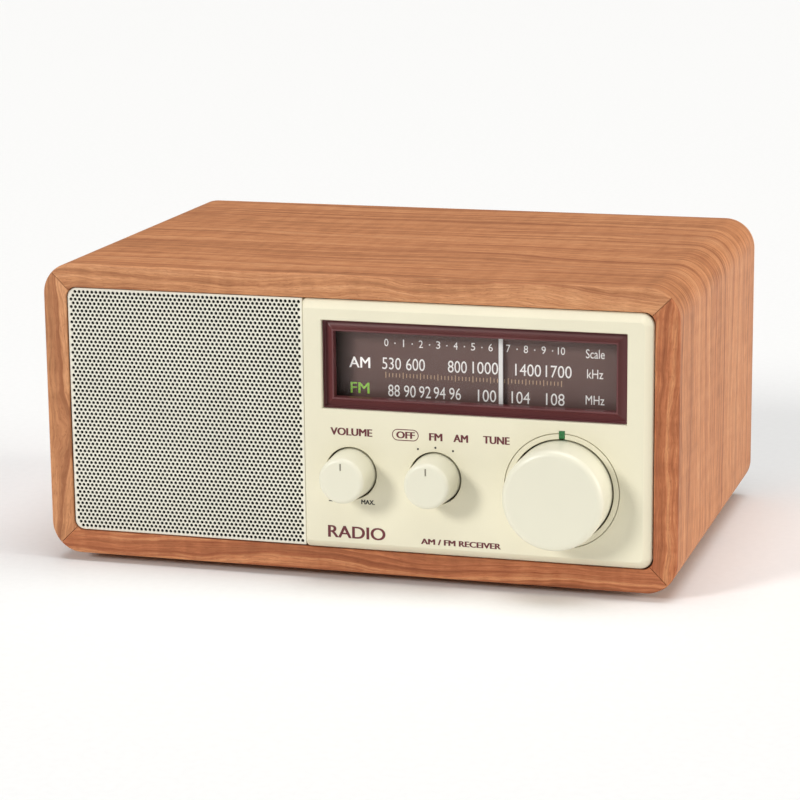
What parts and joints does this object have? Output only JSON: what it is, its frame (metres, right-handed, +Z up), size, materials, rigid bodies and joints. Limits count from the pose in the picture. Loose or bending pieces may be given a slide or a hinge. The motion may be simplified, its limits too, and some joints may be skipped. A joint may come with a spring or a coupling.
{
  "type": "tabletop radio",
  "caption": "Wooden tabletop radio with a perforated speaker grille, a string-driven dial, volume and band knobs and a large tuning knob.",
  "frame": {"origin": "on the surface that the feet stand on, under the middle of the overall box, knobs included", "axes": "+X to the radio's right as seen from the front, -Y towards the front, +Z up"},
  "size_m": [0.24, 0.178, 0.114],
  "materials": {
    "cherry_wood": "satin lacquered cherry veneer, straight grain",
    "fibreboard": "raw",
    "cream_metal": "satin cream paint on perforated steel",
    "cream_plastic": "satin",
    "knob_plastic": "satin",
    "maroon_plastic": "semi gloss",
    "clear_lens": "polished clear acrylic",
    "dial_print": "printed dark brown",
    "white_plastic": "satin",
    "green_lens": "tinted lamp lens",
    "black_plastic": "fine moulded texture",
    "black_cloth": "open weave",
    "black_rubber": "matt",
    "steel": "zinc plated",
    "brass": "plain",
    "aluminium": "plain",
    "cone_paper": "pressed black paper",
    "circuit_board": "green solder mask",
    "copper": "enamelled copper wire",
    "ferrite": "sintered",
    "cord_fibre": "braided cord"
  },
  "bodies": {
    "cabinet": {"cabinet_shell": "cherry_wood", "front_frame_top": "cherry_wood", "front_frame_bottom": "cherry_wood", "front_frame_left": "cherry_wood", "front_frame_right": "cherry_wood", "rubber_foot_1": "black_rubber", "rubber_foot_2": "black_rubber", "rubber_foot_3": "black_rubber", "rubber_foot_4": "black_rubber", "speaker_grille": "cream_metal", "grille_cloth": "black_cloth", "baffle_board": "fibreboard", "speaker_basket": "steel", "speaker_magnet": "ferrite", "front_panel": "cream_plastic", "tuning_lamp": "green_lens", "dial_bezel": "maroon_plastic", "dial_lens": "clear_lens", "dial_plate": "dial_print", "dial_lamp": "white_plastic", "volume_potentiometer": "aluminium", "band_switch": "black_plastic", "drive_plate": "steel", "dial_cord": "cord_fibre", "pointer_rail": "steel", "capacitor_stator": "aluminium", "capacitor_frame": "steel", "board_tray": "black_plastic", "main_board": "circuit_board", "tuner_can": "steel", "transformer_core": "steel", "transformer_coil": "copper", "ferrite_rod": "ferrite", "aerial_coil": "copper", "aerial_bracket": "white_plastic", "rear_batten": "fibreboard", "rear_panel": "black_plastic", "rear_screw_1": "steel", "rear_screw_2": "steel", "rear_screw_3": "steel", "rear_screw_4": "steel", "bass_port": "black_plastic", "mains_inlet": "black_plastic", "aerial_socket": "brass", "headphone_jack": "steel"},
    "volume_control": {"volume_knob": "knob_plastic", "volume_shaft": "steel"},
    "band_selector": {"band_knob": "knob_plastic", "band_shaft": "steel"},
    "tuning_control": {"tune_knob": "knob_plastic", "tuning_shaft": "steel"},
    "tuning_drum": {"drive_drum": "white_plastic", "capacitor_rotor": "aluminium"},
    "left_idler": {"idler_left": "white_plastic"},
    "right_idler": {"idler_right": "white_plastic"},
    "dial_pointer": {"pointer": "white_plastic", "pointer_carriage": "black_plastic"},
    "cone_assembly": {"speaker_cone": "cone_paper", "dust_cap": "cone_paper", "speaker_surround": "black_rubber"}
  },
  "joints": [
    {"name": "volume_turn", "type": "hinge", "parent": "cabinet", "child": "volume_control", "pos_m": [-0.0003, -0.071, 0.0413], "axis": [0, 1, 0], "range_deg": [-150, 150]},
    {"name": "band_turn", "type": "hinge", "parent": "cabinet", "child": "band_selector", "pos_m": [0.0315, -0.071, 0.0413], "axis": [0, 1, 0], "range_deg": [-30, 30]},
    {"name": "tune_turn", "type": "hinge", "parent": "cabinet", "child": "tuning_control", "pos_m": [0.0783, -0.071, 0.0396], "axis": [0, 1, 0], "range_deg": [-715, 365]},
    {"name": "drum_turn", "type": "hinge", "parent": "cabinet", "child": "tuning_drum", "pos_m": [0.046, -0.042, 0.049], "axis": [0, 1, 0], "range_deg": [-119.2, 60.9]},
    {"name": "left_idler_turn", "type": "hinge", "parent": "cabinet", "child": "left_idler", "pos_m": [-0.002, -0.042, 0.0985], "axis": [0, 1, 0], "range_deg": [-626, 320]},
    {"name": "right_idler_turn", "type": "hinge", "parent": "cabinet", "child": "right_idler", "pos_m": [0.1, -0.042, 0.0985], "axis": [0, 1, 0], "range_deg": [-626, 320]},
    {"name": "pointer_slide", "type": "slide", "parent": "cabinet", "child": "dial_pointer", "axis": [1, 0, 0], "range_m": [-0.0438, 0.0224]},
    {"name": "cone_slide", "type": "slide", "parent": "cabinet", "child": "cone_assembly", "axis": [0, 1, 0], "range_m": [-0.001, 0.001], "stiffness_N_per_m": 1500}
  ],
  "couplings": [
    {"joint": "drum_turn", "follows": "tune_turn", "ratio": 0.16667},
    {"joint": "left_idler_turn", "follows": "tune_turn", "ratio": 0.875},
    {"joint": "right_idler_turn", "follows": "tune_turn", "ratio": 0.875},
    {"joint": "pointer_slide", "follows": "tune_turn", "m_per_rad": 0.0035}
  ]
}
